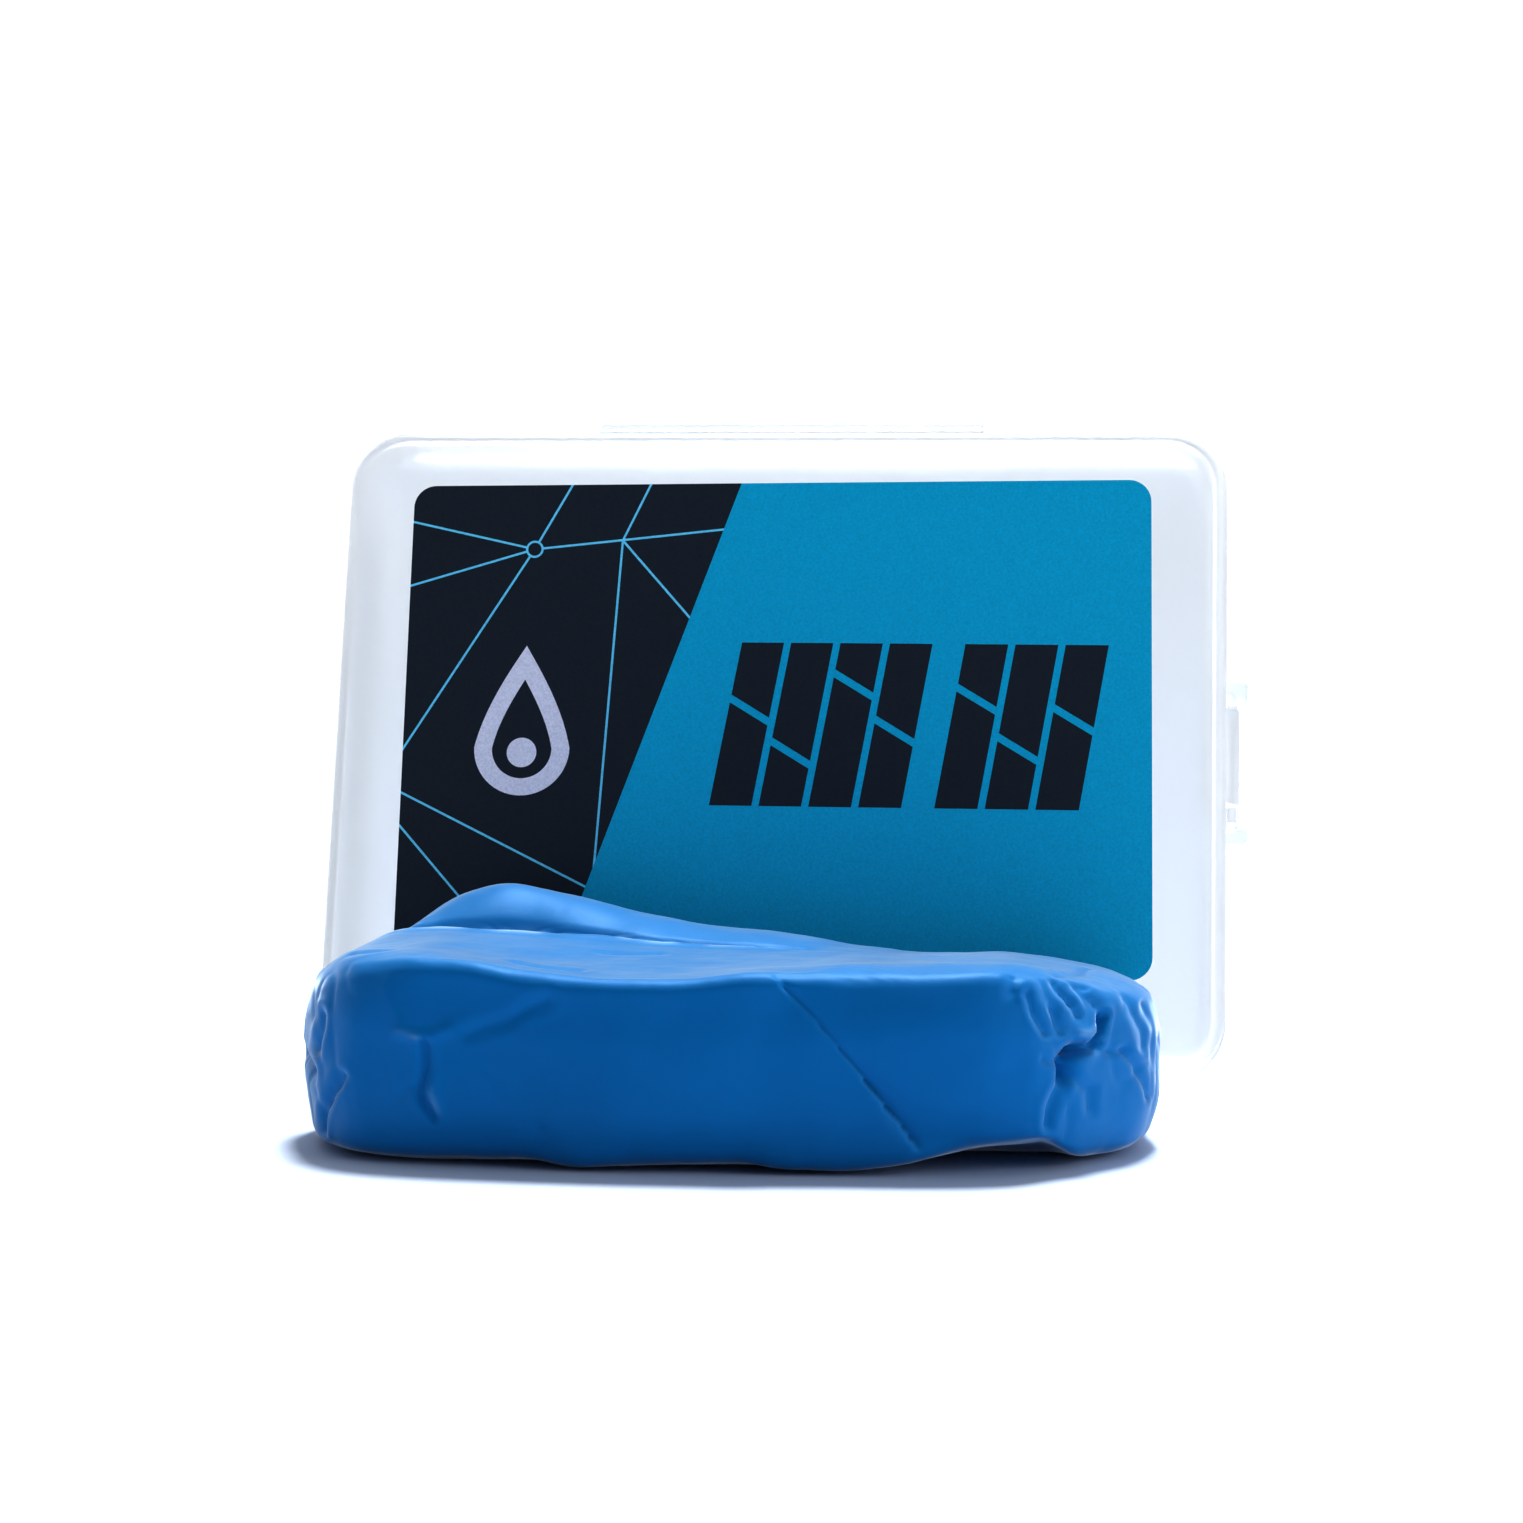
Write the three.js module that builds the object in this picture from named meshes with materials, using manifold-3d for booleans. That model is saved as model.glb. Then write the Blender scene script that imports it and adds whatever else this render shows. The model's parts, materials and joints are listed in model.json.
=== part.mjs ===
// A clay bar for car paint with its hinged polypropylene case. The case stands on its long edge and
// leans back on its lid's thumb tab; the kneaded clay, two slabs pressed together, lies in front.
//
// Case frame: X along the long edge, Y from the lid's face into the case, Z up the case, with its
// zero at the centre of the lid's face. The whole object leans back from there onto the floor, and
// its own origin is at the bottom centre of its box. All lengths are in millimetres.

import * as THREE from "three";
import { mergeVertices } from "three/addons/utils/BufferGeometryUtils.js";
import Module from "manifold-3d";

const wasm = await Module();
wasm.setup();

// Case
const caseWidth = 112;
const caseHeight = 81;
const lidDepth = 10;
const trayDepth = 16;
const wall = 1.2;
const cornerRadius = 7.5;
const faceEdgeRadius = 1.8;
const backEdgeRadius = 2.5;
const innerEdgeRadius = 1;
const partingGap = 0.3;
const rimOut = 0.35;
const rimDepth = 1.1;
const collarReach = 3;
const collarWall = 1.2;
const collarClearance = 0.3;

// Living hinge along the top edge
const hingeWidth = 50.2;
const hingeOut = 3.6;
const leafThickness = 1.2;
const hingeWebThickness = 0.5;
const gussetLength = 7;
const gussetThickness = 1.1;

// Thumb tab under the lid's bottom edge, opposite the hinge
const tabWidth = 24;
const tabOut = 3.1;
const tabThickness = 1.4;
const tabCornerRadius = 2;

// Latch on the right short edge
const flapLength = 15.2;
const flapSideGap = 1.3;
const earThickness = 1.45;
const earDepth = 10.2;
const earOut = 3.1;
const earCornerRadius = 0.7;
const earNubWidth = 1.35;
const earNubHeight = 0.45;
const flapTaper = 0.5;
const flapThickness = 1.2;
const flapOut = 1.84;
const flapLipOut = 2.3;
const flapEndGap = 1.2;
const latchSeatWidth = 12;
const latchSeatDepth = 2.2;
const latchWebLength = 1.2;
const latchWebWidth = 11;
const latchWebThickness = 0.45;

// Space left between pieces that touch or flex against each other
const jointGap = 0.3;

// Printed label on the lid
const labelMargin = 9.1;
const labelCornerRadius = 2.8;
const labelThickness = 0.12;
const labelGap = 0.1;
const labelRise = 1.98;
const labelTurn = THREE.MathUtils.degToRad(0.58);

// Clay: a front slab and a taller back slab, side by side along the crease
const clayLeft = -49;
const clayLength = 96.5;
const clayFront = -55;
const clayBow = 8;
const creaseY = -27;
const clayBackGap = 0.9;
const frontSlabHeight = 23.5;
const frontSlabDip = 3.8;
const frontSlabLift = 3.2;
const backSlabHeight = 27.8;
const backSlabLow = 20;
const clayEdgeRadius = 7;

const cornerSteps = 8;
const edgeSteps = 5;

const lidEnd = lidDepth - partingGap / 2;
const trayStart = lidDepth + partingGap / 2;
const caseDepth = lidDepth + trayDepth;
const collarInset = wall + collarClearance;
const collarInner = collarInset + collarWall;

// Solids

// Joins rings of equal point counts, each turning anticlockwise as seen from before the first ring.
function loft(rings) {
  const count = rings[0].length;
  const points = rings.flat();
  const index = [];
  for (let ring = 0; ring < rings.length - 1; ring += 1) {
    const a = ring * count;
    const b = a + count;
    for (let i = 0; i < count; i += 1) {
      const next = (i + 1) % count;
      index.push(a + i, b + i, b + next, a + i, b + next, a + next);
    }
  }
  const closeEnd = (start, first, second) => {
    const middle = new THREE.Vector3();
    points.slice(start, start + count).forEach((point) => middle.addScaledVector(point, 1 / count));
    points.push(middle);
    for (let i = 0; i < count; i += 1) {
      index.push(points.length - 1, start + (i + first) % count, start + (i + second) % count);
    }
  };
  closeEnd(0, 0, 1);
  closeEnd((rings.length - 1) * count, 1, 0);
  const geometry = new THREE.BufferGeometry().setFromPoints(points);
  geometry.setIndex(index);
  return geometry;
}

function toSolid(geometry) {
  const plain = geometry.clone();
  plain.deleteAttribute("normal");
  plain.deleteAttribute("uv");
  const merged = mergeVertices(plain, 1e-5);
  const vertProperties = new Float32Array(merged.attributes.position.array);
  const triVerts = new Uint32Array(merged.index.array);
  return new wasm.Manifold(new wasm.Mesh({ numProp: 3, vertProperties, triVerts }));
}

function toGeometry(solid) {
  const { vertProperties, triVerts } = solid.getMesh();
  const geometry = new THREE.BufferGeometry();
  geometry.setAttribute("position", new THREE.BufferAttribute(vertProperties, 3));
  geometry.setIndex(new THREE.BufferAttribute(triVerts, 1));
  return geometry;
}

function join(first, ...others) {
  const solids = others.map(toSolid);
  return toGeometry(solids.reduce((sum, solid) => sum.add(solid), toSolid(first)));
}

function box(low, high) {
  const size = high.map((value, axis) => value - low[axis]);
  const geometry = new THREE.BoxGeometry(...size);
  geometry.translate(...low.map((value, axis) => value + size[axis] / 2));
  return geometry;
}

function extrude(shape, depth) {
  return new THREE.ExtrudeGeometry(shape, { depth, bevelEnabled: false, curveSegments: edgeSteps });
}

// Extrudes a polygon drawn as [depth, out] points along the latch, centred on it.
function latchProfile(points, length) {
  const shape = new THREE.Shape(points.map(([depth, out]) => new THREE.Vector2(depth, out)));
  const geometry = extrude(shape, length);
  geometry.translate(0, 0, -length / 2);
  const swap = new THREE.Matrix4().makeBasis(
    new THREE.Vector3(0, 1, 0),
    new THREE.Vector3(0, 0, 1),
    new THREE.Vector3(1, 0, 0),
  );
  return geometry.applyMatrix4(swap);
}

function named(name, geometry, material) {
  const mesh = new THREE.Mesh(geometry, material);
  mesh.name = name;
  return mesh;
}

// Case shells: a profile of [inset, depth] points carried round the case's outline

function outlineRing([inset, depth]) {
  const right = caseWidth / 2 - inset;
  const top = caseHeight / 2 - inset;
  const radius = Math.max(cornerRadius - inset, 0.8);
  const points = [];
  for (let corner = 0; corner < 4; corner += 1) {
    const x = (corner % 3 === 0 ? 1 : -1) * (right - radius);
    const z = (corner < 2 ? 1 : -1) * (top - radius);
    for (let step = 0; step <= cornerSteps; step += 1) {
      const angle = (corner + step / cornerSteps) * (Math.PI / 2);
      points.push(new THREE.Vector3(x + radius * Math.cos(angle), depth, z + radius * Math.sin(angle)));
    }
  }
  return points;
}

// A quarter circle in the profile, from the end at `from` quarter turns to the next one.
function edgeArc(insetCentre, depthCentre, radius, from, turn) {
  return Array.from({ length: edgeSteps + 1 }, (_, step) => {
    const angle = (from + (turn * step) / edgeSteps) * (Math.PI / 2);
    return [insetCentre + radius * Math.cos(angle), depthCentre + radius * Math.sin(angle)];
  });
}

function lidShell() {
  const inner = innerEdgeRadius;
  const profile = [
    ...edgeArc(faceEdgeRadius, faceEdgeRadius, faceEdgeRadius, 3, -1),
    [0, lidEnd - rimDepth - rimOut],
    [-rimOut, lidEnd - rimDepth],
    [-rimOut, lidEnd],
    [wall, lidEnd],
    ...edgeArc(wall + inner, wall + inner, inner, 2, 1),
  ];
  const leaf = box(
    [-hingeWidth / 2, lidEnd - leafThickness, caseHeight / 2 - wall / 2],
    [hingeWidth / 2, lidEnd, caseHeight / 2 + leafOut],
  );
  return join(loft(profile.map(outlineRing)), leaf, thumbTab(), latchSeat().applyMatrix4(latchPlace));
}

function trayShell() {
  const inner = innerEdgeRadius;
  const collarTop = lidDepth - collarReach;
  const back = caseDepth - backEdgeRadius;
  const profile = [
    ...edgeArc(wall + inner, caseDepth - wall - inner, inner, 1, 1),
    [wall, trayStart + 2 * collarWall],
    [collarInner, trayStart + collarWall / 2],
    [collarInner, collarTop],
    [collarInset, collarTop],
    [collarInset, trayStart],
    [-rimOut, trayStart],
    [-rimOut, trayStart + rimDepth],
    [0, trayStart + rimDepth + rimOut],
    ...edgeArc(backEdgeRadius, back, backEdgeRadius, 2, -1),
  ];
  const leaf = box(
    [-hingeWidth / 2, trayStart, caseHeight / 2 - wall / 2],
    [hingeWidth / 2, trayStart + leafThickness, caseHeight / 2 + leafOut],
  );
  const ears = [-1, 1].map((side) => ear(side).applyMatrix4(latchPlace));
  return join(loft(profile.map(outlineRing)), leaf, gusset(-1), gusset(1), ...ears);
}

// Living hinge

const leafOut = hingeOut - hingeWebThickness - jointGap;

// A wedge that stiffens one end of the tray's hinge leaf.
function gusset(side) {
  const root = trayStart + leafThickness / 2;
  const shape = new THREE.Shape([
    new THREE.Vector2(root, -wall / 2),
    new THREE.Vector2(root + gussetLength, -wall / 2),
    new THREE.Vector2(root + gussetLength, 0.1),
    new THREE.Vector2(root, leafOut - jointGap),
  ]);
  const geometry = extrude(shape, gussetThickness);
  const turn = new THREE.Matrix4().makeBasis(
    new THREE.Vector3(0, 1, 0),
    new THREE.Vector3(0, 0, 1),
    new THREE.Vector3(1, 0, 0),
  );
  geometry.applyMatrix4(turn);
  const x = side > 0 ? hingeWidth / 2 - gussetThickness : -hingeWidth / 2;
  return geometry.translate(x, 0, caseHeight / 2);
}

// The thin strip that folds over the outer ends of both leaves.
function hingeWeb() {
  const top = caseHeight / 2 + hingeOut;
  return box(
    [-hingeWidth / 2, lidEnd - leafThickness, top - hingeWebThickness],
    [hingeWidth / 2, trayStart + leafThickness, top],
  );
}

// Thumb tab: the lid is pulled open by it, and the case stands on its back corner.
function thumbTab() {
  const height = tabOut + wall / 2;
  const geometry = extrude(roundedRectangle(tabWidth, 2 * height, tabCornerRadius), tabThickness);
  geometry.rotateX(Math.PI / 2);
  geometry.translate(0, lidEnd, 0);
  const lower = box([-tabWidth, 0, -2 * height], [tabWidth, lidDepth, 0]);
  const tab = toGeometry(toSolid(geometry).intersect(toSolid(lower)));
  return tab.translate(0, 0, -caseHeight / 2 + wall / 2);
}

// Latch, drawn along X with its depth in Y and out of the wall in Z, then turned onto the right wall

const latchPlace = new THREE.Matrix4()
  .makeBasis(new THREE.Vector3(0, 0, -1), new THREE.Vector3(0, 1, 0), new THREE.Vector3(1, 0, 0))
  .setPosition(caseWidth / 2, 0, 0);

const latchAxisOut = flapOut - flapThickness / 2;
const latchWebStart = lidEnd - latchWebLength / 2;
const latchSeatEnd = latchWebStart - jointGap;
const flapStart = latchWebStart + latchWebLength + jointGap;
const flapEnd = trayStart + earDepth - flapEndGap;

// One of the two ears of the tray that guard the flap's ends.
function ear(side) {
  const shape = new THREE.Shape();
  const outer = earOut - earCornerRadius;
  shape.moveTo(0, -wall / 2);
  shape.lineTo(earThickness, -wall / 2);
  shape.lineTo(earThickness, outer);
  shape.absarc(earThickness - earCornerRadius, outer, earCornerRadius, 0, Math.PI / 2);
  shape.lineTo(-earNubHeight, earOut);
  shape.lineTo(-earNubHeight, earOut - earNubWidth);
  shape.lineTo(0, earOut - earNubWidth - earNubHeight);
  const geometry = extrude(shape, earDepth);
  geometry.rotateX(Math.PI / 2);
  geometry.translate(flapLength / 2 + flapSideGap, trayStart + earDepth, 0);
  if (side < 0) {
    geometry.rotateZ(Math.PI);
    geometry.translate(0, 2 * trayStart + earDepth, 0);
  }
  return geometry;
}

// The step on the lid's wall that a latch's flexing web grows out of.
function latchSeat() {
  const start = latchSeatEnd - latchSeatDepth;
  const slope = start - flapOut;
  const points = [[slope, -wall / 2], [slope, 0], [start, flapOut], [latchSeatEnd, flapOut]];
  return latchProfile([...points.reverse(), [latchSeatEnd, -wall / 2]].reverse(), latchSeatWidth);
}

function latchWeb() {
  return box(
    [-latchWebWidth / 2, latchWebStart, latchAxisOut - latchWebThickness / 2],
    [latchWebWidth / 2, latchWebStart + latchWebLength, latchAxisOut + latchWebThickness / 2],
  );
}

// The flap: a plate whose free end turns out into a finger lip, a little shorter there.
function latchFlap() {
  const under = flapOut - flapThickness;
  const lipStart = flapEnd - 2.4;
  const plate = latchProfile([
    [flapStart, under],
    [lipStart, under],
    [flapEnd, under + (flapLipOut - flapOut)],
    [flapEnd, flapLipOut],
    [flapEnd - 0.8, flapLipOut],
    [lipStart, flapOut],
    [flapStart, flapOut],
  ], flapLength);
  const outline = new THREE.Shape([
    new THREE.Vector2(-flapLength / 2, flapStart),
    new THREE.Vector2(flapLength / 2, flapStart),
    new THREE.Vector2(flapLength / 2 - flapTaper, flapEnd),
    new THREE.Vector2(flapTaper - flapLength / 2, flapEnd),
  ]);
  const bounds = extrude(outline, flapLipOut);
  return toGeometry(toSolid(plate).intersect(toSolid(bounds)));
}

// Label

function label() {
  const width = caseWidth - 2 * labelMargin;
  const height = caseHeight - 2 * labelMargin;
  const geometry = extrude(roundedRectangle(width, height, labelCornerRadius), labelThickness);
  geometry.rotateX(Math.PI / 2);
  geometry.rotateY(-labelTurn);
  return geometry.translate(0, -labelGap, labelRise);
}

function roundedRectangle(width, height, radius) {
  const shape = new THREE.Shape();
  const right = width / 2 - radius;
  const top = height / 2 - radius;
  const centres = [[right, -top], [right, top], [-right, top], [-right, -top]];
  centres.forEach(([x, y], corner) => {
    const start = (corner - 1) * (Math.PI / 2);
    shape.absarc(x, y, radius, start, start + Math.PI / 2);
  });
  return shape;
}

// Standing: the case leans back on its thumb tab and on the tray's rounded bottom edge

const tabEdge = new THREE.Vector2(lidEnd, -caseHeight / 2 - tabOut);
const backEdge = new THREE.Vector2(caseDepth - backEdgeRadius, -caseHeight / 2 + backEdgeRadius);
const footing = backEdge.clone().sub(tabEdge);
const lean = footing.angle() - Math.asin(backEdgeRadius / footing.length());
const standHeight = tabEdge.x * Math.sin(lean) - tabEdge.y * Math.cos(lean);

// Depth of the lid's leaning face at a height above the floor.
function faceDepthAt(height) {
  return (height - standHeight) * Math.tan(lean);
}

// Clay: rounded sections carried along X

function claySection({ x, front, back, bottom, top }) {
  const radius = Math.min(clayEdgeRadius, (back - front) / 2.1, (top - bottom) / 2.1);
  const shape = roundedRectangle(top - bottom, back - front, radius);
  return shape.extractPoints(edgeSteps).shape.map((point) => new THREE.Vector3(
    x,
    (front + back) / 2 + point.y,
    (bottom + top) / 2 + point.x,
  ));
}

// A slab whose ends close in over half of their width, as kneaded clay does.
function slab({ start, end, front, back, lift, height }) {
  const length = end - start;
  const shares = [0, 0.015, 0.05, 0.12, 0.25, 0.4, 0.55, 0.7, 0.82, 0.91, 0.965, 0.99, 1];
  const sections = shares.map((share) => {
    const fromEnd = Math.min(share, 1 - share) * length;
    const fullness = Math.sqrt(1 - (1 - Math.min(fromEnd / clayEdgeRadius, 1)) ** 2);
    const draw = (1 - fullness) * clayEdgeRadius;
    const x = start + share * length;
    const top = height(share) - draw;
    return {
      x,
      front: front(share) + draw,
      back: back(share, top) - draw,
      bottom: lift(share) + draw,
      top,
    };
  });
  return loft(sections.map(claySection));
}

const smooth = THREE.MathUtils.smoothstep;

// The front slab bows forward in the middle and lifts off the floor at its right end.
function frontSlab() {
  return slab({
    start: clayLeft,
    end: clayLeft + clayLength * 0.87,
    front: (share) => clayFront + clayBow * (1 - Math.sin(Math.PI * share)),
    back: () => creaseY - jointGap / 2,
    lift: (share) => frontSlabLift * smooth(share, 0.7, 1),
    height: (share) => frontSlabHeight - frontSlabDip * Math.sin(Math.PI * share),
  });
}

// The back slab stands tallest towards its left end and leans on the case.
function backSlab() {
  return slab({
    start: clayLeft + clayLength * 0.06,
    end: clayLeft + clayLength,
    front: () => creaseY + jointGap / 2,
    back: () => faceDepthAt(0) - clayBackGap,
    lift: () => 0,
    height: (share) => {
      const rise = smooth(share, -0.1, 0.2) * (1 - smooth(share, 0.2, 0.75));
      return backSlabLow + (backSlabHeight - backSlabLow) * rise;
    },
  });
}

// Assembly

const polypropylene = new THREE.MeshStandardMaterial({
  color: 0xe6edf4, roughness: 0.3, metalness: 0, transparent: true, opacity: 0.45,
});
const printedFilm = new THREE.MeshStandardMaterial({ color: 0x0083b4, roughness: 0.45, metalness: 0 });
const clay = new THREE.MeshStandardMaterial({ color: 0x0063b5, roughness: 0.5, metalness: 0 });

const standingCase = new THREE.Group();
standingCase.add(
  named("lid_shell", lidShell(), polypropylene),
  named("tray_shell", trayShell(), polypropylene),
  named("hinge_web", hingeWeb(), polypropylene),
  named("label", label(), printedFilm),
  named("latch_flap", latchFlap().applyMatrix4(latchPlace), polypropylene),
  named("latch_web", latchWeb().applyMatrix4(latchPlace), polypropylene),
);
standingCase.rotation.x = -lean;
standingCase.position.z = standHeight;

const group = new THREE.Group();
group.add(
  standingCase,
  named("clay_front_slab", frontSlab(), clay),
  named("clay_back_slab", backSlab(), clay),
);

group.updateMatrixWorld(true);
const bounds = new THREE.Box3().setFromObject(group, true);
const middle = bounds.getCenter(new THREE.Vector3());
group.position.set(-middle.x, -middle.y, -bounds.min.z);

export default group;
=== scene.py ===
"""A kneaded clay bar for car paint, lying in front of its translucent hinged case.

Case pieces are drawn in millimetres in the case's own frame (X along its long edge, Y from the
lid's face into the case, Z up the case) and are put into the row frame by CASE. The clay is drawn
in millimetres in the row frame. Every finished mesh is in metres in the row frame.
"""
import bmesh
import bpy
import json
import math
import numpy as np
from mathutils import Matrix, Vector, noise
from mathutils.geometry import delaunay_2d_cdt


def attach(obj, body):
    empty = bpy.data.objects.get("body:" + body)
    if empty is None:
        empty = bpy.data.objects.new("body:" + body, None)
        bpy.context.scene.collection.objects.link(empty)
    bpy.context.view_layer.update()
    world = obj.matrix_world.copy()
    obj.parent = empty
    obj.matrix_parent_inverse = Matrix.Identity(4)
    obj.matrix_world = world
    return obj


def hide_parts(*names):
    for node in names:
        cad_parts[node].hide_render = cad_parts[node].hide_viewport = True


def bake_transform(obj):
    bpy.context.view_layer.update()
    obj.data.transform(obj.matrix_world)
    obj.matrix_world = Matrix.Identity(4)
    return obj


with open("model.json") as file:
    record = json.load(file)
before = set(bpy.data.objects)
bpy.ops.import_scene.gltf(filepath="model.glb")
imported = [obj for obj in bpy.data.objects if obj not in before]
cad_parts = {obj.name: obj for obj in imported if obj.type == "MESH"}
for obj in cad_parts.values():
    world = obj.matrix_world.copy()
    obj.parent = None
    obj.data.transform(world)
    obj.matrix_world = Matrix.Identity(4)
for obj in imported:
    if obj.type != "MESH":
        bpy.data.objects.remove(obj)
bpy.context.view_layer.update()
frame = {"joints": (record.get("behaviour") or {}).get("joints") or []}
MM = 0.001

# The case, in millimetres
CASE_WIDTH = 112
CASE_HEIGHT = 81
LID_DEPTH = 10
CASE_DEPTH = 26
WALL = 1.2
CORNER_RADIUS = 7.5
FACE_EDGE_RADIUS = 1.8
BACK_EDGE_RADIUS = 2.5
INNER_EDGE_RADIUS = 1.0
PARTING_GAP = 0.3
RIM_OUT = 0.35
RIM_DEPTH = 1.1
RIM_CHAMFER = 0.15
COLLAR_REACH = 3
COLLAR_WALL = 1.2
COLLAR_CHAMFER = 0.3
COLLAR_INSET = WALL + 0.3
HINGE_WIDTH = 50.2
HINGE_OUT = 3.6
LEAF_THICKNESS = 1.2
LEAF_OUT = HINGE_OUT - 0.8
WEB_THICKNESS = 0.5
GUSSET_LENGTH = 7
GUSSET_THICKNESS = 1.1
TAB_WIDTH = 24
TAB_OUT = 3.1
TAB_THICKNESS = 1.4
TAB_CORNER_RADIUS = 2
FLAP_LENGTH = 15.2
FLAP_TAPER = 0.5
FLAP_SIDE_GAP = 1.3
FLAP_THICKNESS = 1.2
FLAP_OUT = 1.84
FLAP_LIP_OUT = 2.3
EAR_THICKNESS = 1.45
EAR_DEPTH = 10.2
EAR_OUT = 3.1
EAR_CORNER_RADIUS = 0.7
EAR_NUB_WIDTH = 1.35
EAR_NUB_HEIGHT = 0.45
SEAT_WIDTH = 12
SEAT_DEPTH = 2.2
LATCH_WEB_WIDTH = 11
LATCH_WEB_THICKNESS = 0.45
LATCH_WEB_LENGTH = 1.2
LABEL_MARGIN = 9.1
LABEL_CORNER_RADIUS = 2.8
LABEL_RISE = 1.98
LABEL_TURN = math.radians(0.58)
LABEL_FILM = 0.1
LABEL_OFF_LID = 0.2
SEAM_GAP = 0.02

LID_END = LID_DEPTH - PARTING_GAP / 2
TRAY_START = LID_DEPTH + PARTING_GAP / 2
LATCH_WEB_START = LID_END - LATCH_WEB_LENGTH / 2
SEAT_END = LATCH_WEB_START - 0.3
FLAP_START = LATCH_WEB_START + LATCH_WEB_LENGTH + 0.3
FLAP_END = TRAY_START + EAR_DEPTH - 1.2


def joint(name):
    return next(j for j in frame["joints"] if j["name"] == name)


def case_frame():
    """The case's own frame, in millimetres, to the row frame, in metres."""
    down = Vector(joint("latch_hinge")["axis"])
    turn = Matrix.Rotation(-math.atan2(-down.y, -down.z), 4, "X")
    fold = Vector((0, LID_DEPTH, CASE_HEIGHT / 2 + HINGE_OUT - WEB_THICKNESS / 2)) * MM
    origin = Vector(joint("case_hinge")["pos_m"]) - turn @ fold
    return Matrix.Translation(origin) @ turn @ Matrix.Scale(MM, 4)


CASE = case_frame()
# The latch is drawn along X, with its depth in Y and out of the wall in Z
LATCH = CASE @ Matrix.Translation((CASE_WIDTH / 2, 0, 0)) @ Matrix(
    ((0, 0, 1, 0), (0, 1, 0, 0), (-1, 0, 0, 0), (0, 0, 0, 1)))


# Camera


def place_camera():
    """A long lens, a little above the clay and to the right of the case's middle."""
    camera = bpy.data.objects.new("camera", bpy.data.cameras.new("camera"))
    bpy.context.scene.collection.objects.link(camera)
    camera.data.sensor_width = 36
    camera.data.lens = 66.97
    camera.data.clip_start = 0.01
    camera.location = (0.0379, -0.3402, 0.0524)
    yaw, pitch, roll = math.radians(6.597), math.radians(-1.653), math.radians(0.510)
    turn = Matrix.Rotation(yaw, 4, "Z") @ Matrix.Rotation(math.pi / 2 + pitch, 4, "X")
    camera.matrix_world = Matrix.Translation(camera.location) @ turn @ Matrix.Rotation(roll, 4, "Z")
    bpy.context.scene.camera = camera


# Meshes


def new_object(name, points, faces):
    mesh = bpy.data.meshes.new(name)
    mesh.from_pydata([tuple(point) for point in points], [], faces)
    mesh.update()
    return object_of(name, mesh)


def object_of(name, mesh):
    piece = bpy.data.objects.new(name, mesh)
    bpy.context.scene.collection.objects.link(piece)
    return piece


def loft(name, rings):
    """Joins rings of equal point counts, each turning anticlockwise as seen from before the first."""
    count = len(rings[0])
    faces = [tuple(reversed(range(len(rings) * count - count, len(rings) * count)))]
    faces.append(tuple(range(count)))
    for ring in range(len(rings) - 1):
        a, b = ring * count, ring * count + count
        for i in range(count):
            j = (i + 1) % count
            faces.append((a + i, b + i, b + j, a + j))
    return new_object(name, [point for ring in rings for point in ring], faces)


def prism(name, outline, thickness, bevel=0.0):
    """An outline of (x, y) points raised along Z from 0, its edges softened by a bevel."""
    rings = [[Vector((x, y, z)) for x, y in outline] for z in (0, thickness)]
    piece = loft(name, [list(reversed(rings[0])), list(reversed(rings[1]))])
    if bevel:
        soften(piece, bevel)
    return piece


def soften(piece, width, segments=3):
    modifier = piece.modifiers.new("bevel", "BEVEL")
    modifier.width = width
    modifier.segments = segments
    modifier.limit_method = "ANGLE"
    modifier.angle_limit = math.radians(40)
    bake_modifiers(piece)


def bake_modifiers(piece):
    """Turns a piece's modifiers into its plain mesh."""
    graph = bpy.context.evaluated_depsgraph_get()
    graph.update()
    mesh = bpy.data.meshes.new_from_object(piece.evaluated_get(graph))
    piece.modifiers.clear()
    old = piece.data
    piece.data = mesh
    bpy.data.meshes.remove(old)


def union(piece, others):
    for other in others:
        modifier = piece.modifiers.new("join", "BOOLEAN")
        modifier.operation = "UNION"
        modifier.solver = "EXACT"
        modifier.object = other
    bake_modifiers(piece)
    for other in others:
        bpy.data.objects.remove(other)
    weld(piece)
    return piece


def weld(piece, gap=SEAM_GAP):
    """Closes the slivers that joining leaves along its seams."""
    mesh = bmesh.new()
    mesh.from_mesh(piece.data)
    bmesh.ops.remove_doubles(mesh, verts=mesh.verts, dist=gap)
    bmesh.ops.dissolve_degenerate(mesh, edges=mesh.edges, dist=gap)
    by_corners = {}
    for face in mesh.faces:
        by_corners.setdefault(frozenset(face.verts), []).append(face)
    fins = [face for pair in by_corners.values() if len(pair) > 1 for face in pair]
    bmesh.ops.delete(mesh, geom=fins, context="FACES")
    mesh.to_mesh(piece.data)
    mesh.free()


def smooth(piece, angle=32):
    for polygon in piece.data.polygons:
        polygon.use_smooth = True
    piece.data.set_sharp_from_angle(angle=math.radians(angle))
    return piece


def rounded_rectangle(width, height, radius, steps=10):
    right, top = width / 2 - radius, height / 2 - radius
    points = []
    for corner, (x, y) in enumerate(((right, -top), (right, top), (-right, top), (-right, -top))):
        for step in range(steps + 1):
            angle = (corner - 1 + step / steps) * math.pi / 2
            points.append((x + radius * math.cos(angle), y + radius * math.sin(angle)))
    return points


# Case shells: a profile of (inset, depth) points carried round the case's outline


def outline_ring(inset, depth, steps=14):
    radius = max(CORNER_RADIUS - inset, 0.8)
    shape = rounded_rectangle(CASE_WIDTH - 2 * inset, CASE_HEIGHT - 2 * inset, radius, steps)
    return [Vector((x, depth, z)) for x, z in shape]


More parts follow.
